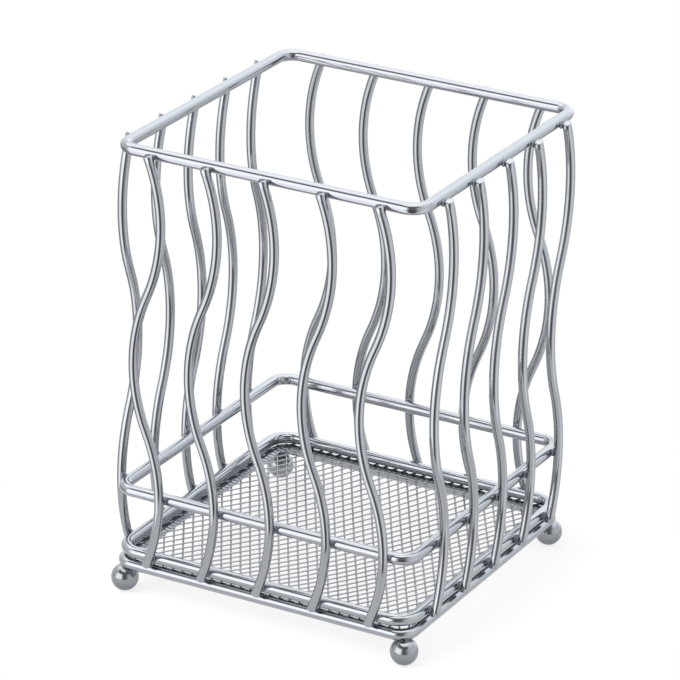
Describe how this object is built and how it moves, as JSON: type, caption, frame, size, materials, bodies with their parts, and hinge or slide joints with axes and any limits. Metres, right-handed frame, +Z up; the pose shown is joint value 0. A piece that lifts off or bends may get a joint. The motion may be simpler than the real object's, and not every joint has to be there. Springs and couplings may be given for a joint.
{
  "type": "cutlery holder",
  "caption": "Square open-topped wire basket for cutlery, with waved upright wires, wire hoops, a fine mesh floor and small ball feet.",
  "frame": {"origin": "middle of the footprint, on the table top under the ball feet", "axes": "+Z up, the front face towards -Y, the right face towards +X"},
  "size_m": [0.1138, 0.1138, 0.1529],
  "materials": {
    "chrome_wire": "bright chrome plate on steel wire",
    "chrome_ball": "bright chrome plate on steel ball",
    "steel_mesh": "chrome plate on fine diamond mesh"
  },
  "bodies": {
    "root": {"top_rim": "chrome_wire", "mid_hoop": "chrome_wire", "upper_base_ring": "chrome_wire", "lower_base_ring": "chrome_wire", "floor_mesh": "steel_mesh", "ball_foot_front_left": "chrome_ball", "ball_foot_front_right": "chrome_ball", "ball_foot_back_right": "chrome_ball", "ball_foot_back_left": "chrome_ball", "upright_front_1": "chrome_wire", "upright_front_2": "chrome_wire", "upright_front_3": "chrome_wire", "upright_front_4": "chrome_wire", "upright_front_5": "chrome_wire", "upright_right_1": "chrome_wire", "upright_right_2": "chrome_wire", "upright_right_3": "chrome_wire", "upright_right_4": "chrome_wire", "upright_right_5": "chrome_wire", "upright_back_1": "chrome_wire", "upright_back_2": "chrome_wire", "upright_back_3": "chrome_wire", "upright_back_4": "chrome_wire", "upright_back_5": "chrome_wire", "upright_left_1": "chrome_wire", "upright_left_2": "chrome_wire", "upright_left_3": "chrome_wire", "upright_left_4": "chrome_wire", "upright_left_5": "chrome_wire"}
  },
  "joints": []
}
